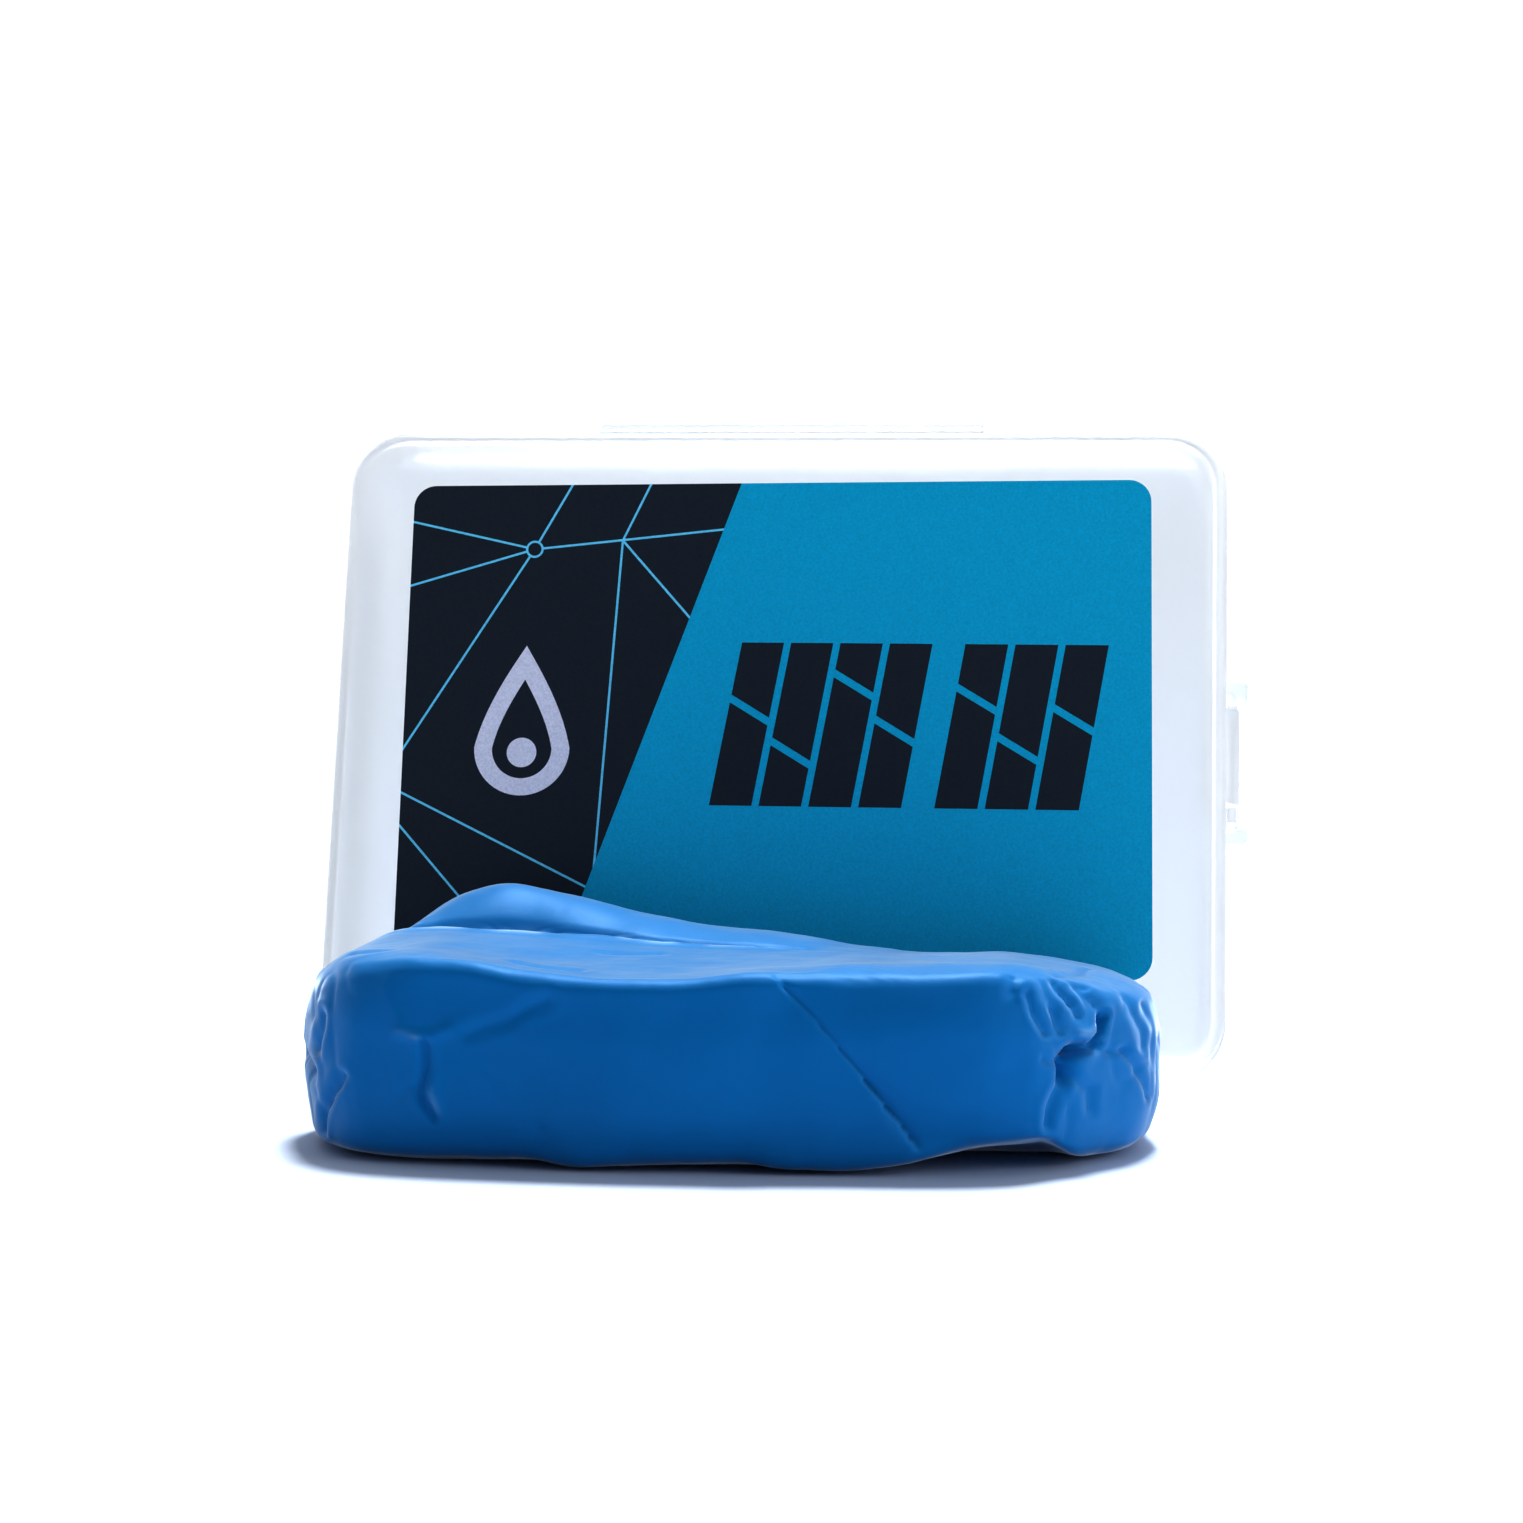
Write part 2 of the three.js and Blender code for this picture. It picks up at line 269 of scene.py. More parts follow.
def edge_arc(inset, depth, radius, start, turn, steps=8):
    """A quarter circle about a profile point, from `start` quarter turns on."""
    angles = [(start + turn * step / steps) * math.pi / 2 for step in range(steps + 1)]
    return [(inset + radius * math.cos(a), depth + radius * math.sin(a)) for a in angles]


def case_box(name, low, high, bevel=0.15):
    size = [b - a for a, b in zip(low, high)]
    outline = [(low[0], low[1]), (high[0], low[1]), (high[0], high[1]), (low[0], high[1])]
    piece = prism(name, outline, size[2], bevel)
    piece.data.transform(Matrix.Translation((0, 0, low[2])))
    return piece


def latch_profile(name, points, length, bevel=0.12):
    """A polygon of (depth, out) points, as long as the latch is, centred on it."""
    piece = prism(name, points, length, bevel)
    turn = Matrix(((0, 0, 1, -length / 2), (1, 0, 0, 0), (0, 1, 0, 0), (0, 0, 0, 1)))
    piece.data.transform(turn)
    return piece


def into_case(piece, place):
    """Moves a mesh drawn in the latch's frame into the case's frame."""
    piece.data.transform(CASE.inverted() @ place)
    return piece


def hinge_leaf(name, low_depth):
    top = CASE_HEIGHT / 2
    low = (-HINGE_WIDTH / 2, low_depth, top - WALL / 2)
    return case_box(name, low, (HINGE_WIDTH / 2, low_depth + LEAF_THICKNESS, top + LEAF_OUT))


def gusset(side):
    """A wedge behind one end of the tray's hinge leaf."""
    root = TRAY_START + LEAF_THICKNESS / 2
    end = root + GUSSET_LENGTH
    outline = [(root, -WALL / 2), (end, -WALL / 2), (end, 0.1), (root, LEAF_OUT - 0.3)]
    piece = latch_profile("gusset", outline, GUSSET_THICKNESS, 0.1)
    x = side * (HINGE_WIDTH - GUSSET_THICKNESS) / 2
    piece.data.transform(Matrix.Translation((x, 0, CASE_HEIGHT / 2)))
    return piece


def thumb_tab():
    """The tab that the lid is pulled open by, and that the case stands on."""
    outline = rounded_rectangle(TAB_WIDTH, 2 * TAB_OUT, TAB_CORNER_RADIUS, 6)
    root = [(TAB_WIDTH / 2, WALL / 2), (-TAB_WIDTH / 2, WALL / 2)]
    lower = left_to_right([(x, y) for x, y in outline if y < 0])
    piece = prism("tab", root + lower, TAB_THICKNESS)
    turn = Matrix(((1, 0, 0, 0), (0, 0, -1, LID_END), (0, 1, 0, -CASE_HEIGHT / 2), (0, 0, 0, 1)))
    piece.data.transform(turn)
    return piece


def left_to_right(points):
    """Orders a tab's lower edge: down its left corner, along, and up its right corner."""
    return sorted(points, key=lambda point: (round(point[0], 6), -point[1] if point[0] < 0 else point[1]))


def ear(side):
    """One of the tray's two ears that guard the ends of the latch flap."""
    corner, out = EAR_CORNER_RADIUS, EAR_OUT
    nub = out - EAR_NUB_WIDTH
    outline = [(0, -WALL / 2), (EAR_THICKNESS, -WALL / 2)]
    for step in range(7):
        angle = step / 6 * math.pi / 2
        x, y = EAR_THICKNESS - corner, out - corner
        outline.append((x + corner * math.cos(angle), y + corner * math.sin(angle)))
    outline += [(-EAR_NUB_HEIGHT, out), (-EAR_NUB_HEIGHT, nub), (0, nub - EAR_NUB_HEIGHT)]
    piece = prism("ear", outline, EAR_DEPTH, 0.12)
    turn = Matrix(((1, 0, 0, 0), (0, 0, -1, 0), (0, 1, 0, 0), (0, 0, 0, 1)))
    piece.data.transform(turn)
    piece.data.transform(Matrix.Translation((FLAP_LENGTH / 2 + FLAP_SIDE_GAP, EAR_DEPTH / 2, 0)))
    if side < 0:
        piece.data.transform(Matrix.Rotation(math.pi, 4, "Z"))
    piece.data.transform(Matrix.Translation((0, TRAY_START + EAR_DEPTH / 2, 0)))
    return into_case(piece, LATCH)


def latch_seat():
    """The step on the lid's wall that the latch's web grows out of."""
    start = SEAT_END - SEAT_DEPTH
    slope = start - FLAP_OUT
    outline = [(slope, -WALL / 2), (SEAT_END, -WALL / 2), (SEAT_END, FLAP_OUT)]
    outline += [(start, FLAP_OUT), (slope, 0)]
    return into_case(latch_profile("seat", outline, SEAT_WIDTH), LATCH)


def lid_shell():
    inner = INNER_EDGE_RADIUS
    profile = edge_arc(FACE_EDGE_RADIUS, FACE_EDGE_RADIUS, FACE_EDGE_RADIUS, 3, -1)
    profile += [(0, LID_END - RIM_DEPTH - RIM_OUT), (-RIM_OUT, LID_END - RIM_DEPTH)]
    profile += [(-RIM_OUT, LID_END - RIM_CHAMFER), (-RIM_OUT + RIM_CHAMFER, LID_END), (WALL, LID_END)]
    profile += edge_arc(WALL + inner, WALL + inner, inner, 2, 1)
    shell = loft("lid", [outline_ring(*point) for point in profile])
    union(shell, [hinge_leaf("leaf", LID_END - LEAF_THICKNESS), thumb_tab(), latch_seat()])
    return finish_case_piece(shell, "case_lid", "lid_shell")


def tray_shell():
    inner = INNER_EDGE_RADIUS
    collar_top = LID_DEPTH - COLLAR_REACH
    collar_inner = COLLAR_INSET + COLLAR_WALL
    back = CASE_DEPTH - BACK_EDGE_RADIUS
    profile = edge_arc(WALL + inner, CASE_DEPTH - WALL - inner, inner, 1, 1)
    profile += [(WALL, TRAY_START + 2 * COLLAR_WALL), (collar_inner, TRAY_START + COLLAR_WALL / 2)]
    profile += [(collar_inner, collar_top + COLLAR_CHAMFER), (collar_inner - COLLAR_CHAMFER, collar_top)]
    profile += [(COLLAR_INSET + COLLAR_CHAMFER, collar_top), (COLLAR_INSET, collar_top + COLLAR_CHAMFER)]
    profile += [(COLLAR_INSET, TRAY_START)]
    profile += [(-RIM_OUT + RIM_CHAMFER, TRAY_START), (-RIM_OUT, TRAY_START + RIM_CHAMFER)]
    profile += [(-RIM_OUT, TRAY_START + RIM_DEPTH), (0, TRAY_START + RIM_DEPTH + RIM_OUT)]
    profile += edge_arc(BACK_EDGE_RADIUS, back, BACK_EDGE_RADIUS, 2, -1)
    shell = loft("tray", [outline_ring(*point) for point in profile])
    union(shell, [hinge_leaf("leaf", TRAY_START), gusset(-1), gusset(1), ear(-1), ear(1)])
    return finish_case_piece(shell, "case_tray", "tray_shell")


def finish_case_piece(piece, body, node):
    piece.data.transform(CASE)
    piece.name = piece.data.name = node.replace("_shell", "") + "_moulding"
    smooth(piece)
    piece.data.materials.clear()
    piece.data.materials.append(MATERIALS["polypropylene"])
    # Walls this thin let most of the light through, so they hardly shade what lies behind them
    piece.visible_shadow = False
    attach(piece, body)
    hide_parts(node)
    return piece


# Flexing strips


def strip_profile(start, end, under, over, groove=0.0, steps=26):
    """The outline, in (depth, out), of a thin strip with a fold groove under its middle."""
    depths = [start + (end - start) * step / steps for step in range(steps + 1)]
    middle = (start + end) / 2
    lower = [(d, under + groove * math.exp(-((d - middle) / 0.3) ** 2)) for d in depths]
    rounding = 0.16
    upper = []
    for d in depths:
        from_end = min(d - start, end - d)
        drop = rounding - math.sqrt(max(rounding ** 2 - max(rounding - from_end, 0) ** 2, 0))
        upper.append((d, over - drop))
    return lower + upper[::-1]


def hinge_web():
    """The thin strip that folds between the outer ends of both hinge leaves."""
    start, end = LID_END - LEAF_THICKNESS + 0.05, TRAY_START + LEAF_THICKNESS - 0.05
    top = CASE_HEIGHT / 2 + HINGE_OUT
    root = CASE_HEIGHT / 2 + LEAF_OUT - 0.15
    outline = strip_profile(start, end, root, top, top - WEB_THICKNESS - root)
    piece = latch_profile("hinge_strip", outline, HINGE_WIDTH - 0.1, 0)
    return flexing(piece, CASE, "case_tray", "hinge_web", (LID_END, top), (TRAY_START, top))


def latch_web():
    """The thin strip that the latch flap bends on."""
    middle = FLAP_OUT - FLAP_THICKNESS / 2
    half = LATCH_WEB_THICKNESS / 2
    start, end = SEAT_END - 0.15, FLAP_START + 0.15
    outline = strip_profile(start, end, middle - half, middle + half, 0.12)
    piece = latch_profile("latch_strip", outline, LATCH_WEB_WIDTH, 0)
    ends = (LATCH_WEB_START, middle), (LATCH_WEB_START + LATCH_WEB_LENGTH, middle)
    return flexing(piece, LATCH, "latch", "latch_web", *ends)


def flexing(piece, place, body, node, start, end):
    """Finishes a strip that bends between the lid and another body, from one (depth, out) to another; the
    body and the two ends are not used.
    """
    piece.data.transform(place)
    smooth(piece)
    piece.data.materials.append(MATERIALS["polypropylene"])
    piece.visible_shadow = False
    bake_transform(piece)
    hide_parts(node)
    return piece


def latch_flap():
    under = FLAP_OUT - FLAP_THICKNESS
    lip_start = FLAP_END - 2.4
    outline = [(FLAP_START, under), (lip_start, under), (FLAP_END, under + FLAP_LIP_OUT - FLAP_OUT)]
    outline += [(FLAP_END, FLAP_LIP_OUT), (FLAP_END - 0.8, FLAP_LIP_OUT)]
    outline += [(lip_start, FLAP_OUT), (FLAP_START, FLAP_OUT)]
    piece = latch_profile("flap", outline, FLAP_LENGTH, 0)
    for vertex in piece.data.vertices:
        share = (vertex.co.y - FLAP_START) / (FLAP_END - FLAP_START)
        vertex.co.x -= math.copysign(FLAP_TAPER * share, vertex.co.x)
    soften(piece, 0.22, 4)
    piece.data.transform(CASE.inverted() @ LATCH)
    return finish_case_piece(piece, "latch", "latch_flap")


# Label: one printed sheet, its inks laid out in (x, z) on the lid's face

FIELD_EDGE = [(-4.4, 35.0), (-26.6, -30.2)]
LINES = [
    [(-47.4, 19.6), (-31.2, 24.6), (-5.0, 27.5)],
    [(-47.4, 28.2), (-31.2, 24.6)],
    [(-31.2, 24.6), (-26.2, 34.0)],
    [(-31.2, 24.6), (-47.4, -2.4)],
    [(-16.2, 34.0), (-19.9, 25.8), (-21.8, -18.0)],
    [(-19.9, 25.8), (-10.6, 15.4)],
    [(-47.4, -6.8), (-20.0, -20.0)],
    [(-47.4, -10.6), (-34.2, -25.0), (-22.0, -27.0)],
]
LINE_WIDTH = 0.3
RING = (-31.2, 24.6, 0.85, 1.15)
DROP = (-31.6, -1.2, 6.1, 13.2)
BARS = [(-7.6, 5.3, 0.56), (-1.4, 5.3, 0.3), (4.8, 5.3, 0.72), (11.0, 5.3, 0.44),
        (20.4, 5.3, 0.64), (26.6, 5.3, 0.34), (32.8, 5.3, 0.52)]
BAR_FOOT = -8.2
BAR_TOP = 12.6
BAR_SLANT = 0.165
BAR_CUT = 1.0
BAR_CUT_SLOPE = 0.55


def shifted_line(line, width):
    """A strip of even width along a line of places."""
    sides = ([], [])
    for i, place in enumerate(line):
        before = Vector(line[max(i - 1, 0)])
        after = Vector(line[min(i + 1, len(line) - 1)])
        along = (after - before).normalized()
        across = Vector((-along.y, along.x)) * width / 2
        sides[0].append(tuple(Vector(place) + across))
        sides[1].append(tuple(Vector(place) - across))
    return sides[0] + sides[1][::-1]


def circle(x, z, radius, steps=40):
    return [(x + radius * math.cos(math.tau * i / steps), z + radius * math.sin(math.tau * i / steps))
            for i in range(steps)]


def droplet(x, z, radius, rise, steps=56):
    """A water drop: a round belly drawn up to a point."""
    points = []
    for i in range(steps):
        angle = math.tau * i / steps
        up = max(math.cos(angle), 0)
        points.append((x + radius * math.sin(angle) * (1 - up) ** 0.55 * (1 + 0.35 * up),
                       z + (radius * math.cos(angle) if up == 0 else rise * up ** 1.25)))
    return points


def bar_halves(x, width, share):
    """A slanted block, slashed in two across its height."""
    cut = BAR_FOOT + (BAR_TOP - BAR_FOOT) * share
    drop = width * BAR_CUT_SLOPE / 2
    halves = []
    for low, high in (((BAR_FOOT, BAR_FOOT), (cut + drop, cut - drop)),
                      ((cut + drop + BAR_CUT, cut - drop + BAR_CUT), (BAR_TOP, BAR_TOP))):
        corners = [(x, low[0]), (x + width, low[1]), (x + width, high[1]), (x, high[0])]
        halves.append([(px + (pz - BAR_FOOT) * BAR_SLANT, pz) for px, pz in corners])
    return halves


def inside(point, loop):
    hit = False
    for (x1, z1), (x2, z2) in zip(loop, loop[1:] + loop[:1]):
        if (z1 > point[1]) != (z2 > point[1]) and point[0] < x1 + (x2 - x1) * (point[1] - z1) / (z2 - z1):
            hit = not hit
    return hit


def label_inks():
    """Closed loops with the ink inside each, in the order they were printed on black."""
    inks = [(shifted_line(line, LINE_WIDTH), "line") for line in LINES]
    inks.append(([*FIELD_EDGE, (60, -30.2), (60, 35)], "blue"))
    x, z, hole, rim = RING
    inks += [(circle(x, z, rim), "line"), (circle(x, z, hole), "black")]
    x, z, radius, rise = DROP
    inks += [(droplet(x, z, radius, rise), "mark"), (droplet(x, z - 0.1, radius - 2.3, rise - 4.3), "black")]
    inks += [(circle(x, z - 0.6, 1.9), "mark")]
    for bar in BARS:
        inks += [(half, "black") for half in bar_halves(*bar)]
    return inks


LABEL_SLOTS = ["black", "blue", "line", "mark", "label_back"]


def ink_at(place, inks):
    """The material slot of the ink printed last over a place."""
    slot = 0
    for loop, ink in inks:
        if inside(place, loop):
            slot = LABEL_SLOTS.index(ink)
    return slot


def label_sheet(inks):
    """The label cut into triangles along the edge of every ink, with each one's slot."""
    width, height = CASE_WIDTH - 2 * LABEL_MARGIN, CASE_HEIGHT - 2 * LABEL_MARGIN
    cos, sin = math.cos(LABEL_TURN), math.sin(LABEL_TURN)
    outline = [(x * cos - z * sin, x * sin + z * cos + LABEL_RISE)
               for x, z in rounded_rectangle(width, height, LABEL_CORNER_RADIUS, 10)]
    points, edges = [Vector(place) for place in outline], []
    rim = [list(range(len(points)))]
    for loop, _ in inks:
        start = len(points)
        points += [Vector(place) for place in loop]
        edges += [(start + i, start + (i + 1) % len(loop)) for i in range(len(loop))]
    # An even grid between the inks lets the film follow its swells
    for x in np.arange(-45, 46, 2.5):
        for z in np.arange(-27.5, 31, 2.5):
            points.append(Vector((x, z)))
    flat, _, triangles, *_ = delaunay_2d_cdt(points, edges, rim, 0, 1e-5)
    cut, slots = [], []
    for triangle in triangles:
        middle = sum((flat[i] for i in triangle), Vector((0, 0))) / 3
        if inside(middle, outline):
            cut.append(triangle)
            slots.append(ink_at(middle, inks))
    return flat, cut, slots


def label():
    flat, triangles, slots = label_sheet(label_inks())
    used = sorted({i for triangle in triangles for i in triangle})
    number = {old: new for new, old in enumerate(used)}
    front = [Vector((flat[i].x, -LABEL_OFF_LID - label_wave(flat[i]), flat[i].y)) for i in used]
    back = [Vector((p.x, p.y + LABEL_FILM, p.z)) for p in front]
    size, white = len(front), LABEL_SLOTS.index("label_back")
    faces = [turned([number[i] for i in triangle], front) for triangle in triangles]
    rim = boundary(faces)
    faces += [tuple(i + size for i in reversed(face)) for face in faces]
    faces += [(b, a, a + size, b + size) for a, b in rim]
    slots += [white] * (len(faces) - len(slots))
    piece = new_object("printed_label", front + back, faces)
    for name in LABEL_SLOTS:
        piece.data.materials.append(MATERIALS[name])
    for polygon, slot in zip(piece.data.polygons, slots):
        polygon.material_index = slot
        polygon.use_smooth = True
    piece.data.set_sharp_from_angle(angle=math.radians(60))
    piece.data.transform(CASE)
    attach(piece, "case_lid")
    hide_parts("label")


def label_wave(place):
    """How far the film stands off the lid: it was laid by hand and has a few soft swells."""
    swell = math.sin(place.x * 0.11 + 0.6) * math.sin(place.y * 0.09 - 0.4)
    return 0.05 * (1 + swell)


def turned(face, points):
    """The triangle, wound so that it faces the front of the lid."""
    a, b, c = (points[i] for i in face)
    facing = (b - a).cross(c - a)
    return tuple(face) if facing.y < 0 else tuple(reversed(face))


def boundary(faces):
    """The edges that only one face uses, as that face winds them."""
    edges = {(face[i], face[(i + 1) % len(face)]) for face in faces for i in range(len(face))}
    return [edge for edge in sorted(edges) if (edge[1], edge[0]) not in edges]


# Clay: an even quad block, rounded, kneaded to shape, then pressed and creased. Each list below is a
# line through (x, size) knots, along the front's top edge, the seam, the ridge and the front. The two
# ends' lines run from the front (-1) to the back (1).

CLAY_HALF = np.array((48.25, 22.0, 11.0))
CLAY_STEP = 0.43
SOFT_EDGE = 8.2
SHARP_EDGE = 1.8
FRONT_EDGE = [(-48, 20.6), (-43, 22.4), (-34, 23.3), (-28, 22.4), (-23, 21.3), (-16, 20.8), (-5, 20.9),
              (3, 21.9), (12, 22.5), (30, 22.7), (36, 21.6), (44, 19.5)]
CREASE = [(-48, 21.5), (-42, 22.9), (-36, 23.3), (-28, 22.9), (-16, 22.5), (-6, 22.0), (5, 21.1),
          (20, 21.2), (30, 21.0), (38, 19.9), (46, 18.5)]
RIDGE = [(-50, 15.0), (-45, 20.5), (-42, 23.2), (-37, 26.6), (-31, 28.1), (-21, 26.2), (-15, 24.7),
         (-8, 23.5), (0, 22.7), (8, 21.5), (17, 20.8), (29, 20.9), (38, 19.5), (46, 18.2)]
FRONT_LINE = [(-50, -33.5), (-46, -39.5), (-41, -43.2), (-34, -44.9), (-20, -45.6), (-11, -46.2),
              (0, -45.5), (10, -44.5), (22, -43.0), (32, -41.0)]
LEFT_END = [(-1, -45.8), (-0.8, -48.4), (-0.5, -50.6), (-0.2, -50.2), (0.1, -48.3), (0.4, -46.0), (1, -43.0)]
RIGHT_END = [(-1, 33.5), (-0.8, 36.0), (-0.5, 40.5), (-0.3, 43.6), (-0.1, 45.6), (0.2, 46.5), (1, 44.5)]
CREASE_Y = -16.5
RIDGE_Y = -8.5
CLAY_BACK = -0.6
WANDER = 0.4
WANDER_SIZE = 2.6


def box_quads(counts):
    """The skin of a block of cells: whole-number points, and quads that face outwards."""
    quads = []
    for axis in range(3):
        u, v = (axis + 1) % 3, (axis + 2) % 3
        a, b = (grid.ravel() for grid in np.meshgrid(range(counts[u]), range(counts[v])))
        for side in (0, counts[axis]):
            quad = np.zeros((4, a.size, 3), int)
            quad[..., axis] = side
            for corner, (du, dv) in enumerate(((0, 0), (1, 0), (1, 1), (0, 1))):
                quad[corner, :, u] = a + du
                quad[corner, :, v] = b + dv
            quads.append(quad if side else quad[::-1])
    corners = np.concatenate(quads, axis=1)
    points, index = np.unique(corners.reshape(-1, 3), axis=0, return_inverse=True)
    return points, index.reshape(4, -1).T


def rounded(points, radius):
    """A box's skin with its edges rolled over to a radius."""
    core = np.clip(points, radius - CLAY_HALF, CLAY_HALF - radius)
    away = points - core
    return core + radius * away / np.linalg.norm(away, axis=1, keepdims=True)


def flow(value, knots, spread=2.5):
    """A smooth line through (place, size) knots, averaged over a short spread."""
    places, sizes = zip(*knots)
    offsets = np.linspace(-spread, spread, 9)
    weights = np.cos(offsets / spread * 1.4)
    return sum(w * np.interp(value + o, places, sizes) for o, w in zip(offsets, weights)) / weights.sum()


def ease(value, low, high):
    share = np.clip((value - low) / (high - low), 0, 1)
    return share * share * (3 - 2 * share)


def kneaded(points):
    """Bends the block to the two pressed-together slabs, in millimetres in the row frame."""
    up, out = points[:, 2] / CLAY_HALF[2], -points[:, 1] / CLAY_HALF[1]
    along = points[:, 0]
    # How crisp each edge is: the front top edge is pinched in its middle, the foot spreads at one place
    pinch = flow(along, ((-38, 0), (-24, 1), (12, 0.9), (24, 0)))
    crisp = 0.45 + 0.5 * ease(up, 0, 1) * ease(out, -0.2, 0.8) * pinch
    foot = 0.4 * ease(-up, 0, 1) * ease(out, 0, 0.8)
    crisp += foot * np.exp(-((along + 11) / 5) ** 2)
    crisp += foot * ease(along, 8, 16) * (1 - ease(along, 30, 38))
    crisp -= 0.2 * ease(up, 0, 1) * ease(-along, 36, 46)
    soft, sharp = rounded(points, SOFT_EDGE), rounded(points, SHARP_EDGE)
    shape = soft + (sharp - soft) * crisp[:, None]
    s, t, w = (shape / CLAY_HALF).T
    height = (w + 1) / 2
    left = flow(t, LEFT_END, 0.12)
    right = flow(t, RIGHT_END, 0.12) - 1.6 * ease(height, 0.5, 1) * ease(-t, 0.3, 0.9)
    x = left + (right - left) * (s + 1) / 2
    front = flow(x, FRONT_LINE) - 0.5 * np.sin(np.pi * height)
    y = front + (CLAY_BACK - front) * (t + 1) / 2
    top = clay_top(x, y, front)
    lift = 2.6 * ease(x, 10, 31) * (1 - ease(x, 33, 38)) * ease(-y, 24, 33)
    return np.stack([x, y, lift + height * (top - lift)], axis=1)


def clay_top(x, y, front):
    edge, crease, ridge = flow(x, FRONT_EDGE), flow(x, CREASE), flow(x, RIDGE)
    seam = seam_y(x)
    share = np.clip((y - front) / (seam - front), 0, 1)
    near = edge + (crease - edge) * share ** 1.4 - 0.5 * np.sin(np.pi * share)
    climb = np.clip((y - seam) / (RIDGE_Y - seam), 0, 1)
    far = crease + (ridge - crease) * np.sin(climb * np.pi / 2) ** 0.85
    fade = 1 - ease(x, -6, 10)
    notch = 0.8 * np.exp(-((y - seam) / 0.45) ** 2) - 0.28 * np.exp(-((y - seam + 1.3) / 0.7) ** 2)
    return np.where(y < seam, near, far) - notch * fade


def seam_y(x):
    return CREASE_Y + 0.5 * np.sin(x * 0.21 + 1) + 0.25 * np.sin(x * 0.63)


# Creases and folds: a line of places, the crease's half width and depth, and its lip's share of the
# depth. A negative depth is a raised fold. FRONT_MARKS and BACK_MARKS are in (x, z), TOP_MARKS in
# (x, y) and END_MARKS, on the left end, in (y, z).
FRONT_MARKS = [
    ([(-32.2, 13.4), (-32.0, 10.5), (-32.6, 8.6), (-31.2, 5.4)], 0.5, 0.75, 0.5),
    ([(-35.0, 14.3), (-32.4, 13.9), (-29.2, 15.2)], 0.5, -0.4, 0.0),
    ([(-36.8, 19.0), (-35.2, 15.6), (-33.2, 13.6)], 1.3, -0.3, 0.0),
    ([(-31.0, 8.8), (-30.8, 6.0)], 0.6, -0.3, 0.0),
    ([(-18.6, 18.4), (-22.0, 16.6), (-27.4, 14.6)], 0.7, 0.3, 0.5),
    ([(-33.6, 9.0), (-36.0, 6.2)], 0.5, 0.2, 0.3),
    ([(-25.2, 10.6), (-23.6, 8.8)], 0.4, 0.15, 0.3),
    ([(-44.9, 15.4), (-45.3, 13.2), (-45.9, 11.8)], 0.6, 0.7, 0.5),
    ([(-52.0, 9.6), (-49.4, 9.8), (-46.8, 8.6)], 0.7, 1.2, 0.3),
    ([(-41.8, 9.3), (-43.4, 7.4), (-44.8, 4.4), (-45.4, 2.4)], 0.55, 0.7, 0.5),
    ([(-48.6, 17.4), (-47.0, 15.0)], 0.7, 0.5, 0.3),
    ([(-19.4, 7.8), (-19.2, 7.7)], 0.7, 0.12, 0.0),
    ([(-19.6, 4.4), (-19.4, 4.3)], 0.8, 0.2, 0.0),
    ([(30.2, 20.8), (30.1, 19.8)], 0.6, 0.35, 0.2),
    ([(33.2, 22.5), (34.4, 20.2), (35.8, 18.2)], 0.45, 0.6, 0.5),
    ([(31.6, 19.6), (32.6, 17.2), (33.9, 15.0)], 0.4, 0.5, 0.5),
    ([(36.6, 19.6), (38.4, 18.0), (39.4, 16.0)], 0.6, 0.45, 0.4),
    ([(35.9, 10.9), (36.0, 12.0), (36.8, 12.9)], 0.75, 2.3, 0.2),
    ([(36.8, 12.9), (38.8, 13.2), (39.3, 14.4), (39.5, 15.9)], 0.42, 1.6, 0.4),
    ([(37.2, 14.4), (38.4, 14.6)], 0.6, -0.5, 0.0),
    ([(36.0, 10.9), (35.2, 9.2), (34.4, 6.8), (34.0, 5.2)], 0.5, 0.7, 0.5),
    ([(37.0, 10.4), (38.4, 8.8), (38.6, 6.2)], 0.5, 0.5, 0.4),
    ([(39.2, 12.9), (40.8, 12.2), (42.4, 12.6)], 0.4, 0.4, 0.3),
    ([(37.3, 20.0), (37.8, 19.6)], 0.4, 0.7, 0.4),
    ([(41.9, 12.2), (43.4, 10.6), (44.3, 8.2), (45.0, 6.6)], 0.4, 0.5, 0.5),
    ([(44.2, 17.0), (45.3, 13.8), (45.8, 9.8)], 0.35, 0.6, 0.4),
    ([(41.6, 19.0), (43.6, 15.4), (44.4, 12.4)], 0.5, 0.4, 0.4),
    ([(33.4, 12.6), (34.6, 12.2)], 0.35, 0.45, 0.3),
    ([(36.2, 17.8), (37.2, 16.4)], 0.4, 0.5, 0.4),
    ([(34.2, 17.4), (35.2, 14.8)], 0.4, 0.4, 0.5),
]
FOLD = [(6.2, 20.2), (9.8, 16.6), (13.3, 12.4), (16.5, 8.2), (18.6, 5.6), (20.4, 3.0)]
TOP_MARKS = [
    ([(-16.6, -25.0), (-13.0, -25.4), (-9.8, -24.8)], 0.7, 0.22, 0.3),
    ([(-42.4, -36.5), (-40.6, -37.5), (-38.4, -37.2)], 0.7, 0.3, 0.3),
    ([(-24.0, -37.5), (-20.5, -39.5), (-17.0, -39.2)], 0.8, 0.3, 0.6),
    ([(34.6, -33.0), (37.2, -26.0), (38.0, -17.0)], 0.7, 0.3, 0.4),
    ([(-30.0, -4.5), (-10.0, -3.8), (12.0, -4.6)], 1.2, 0.3, 0.3),
]
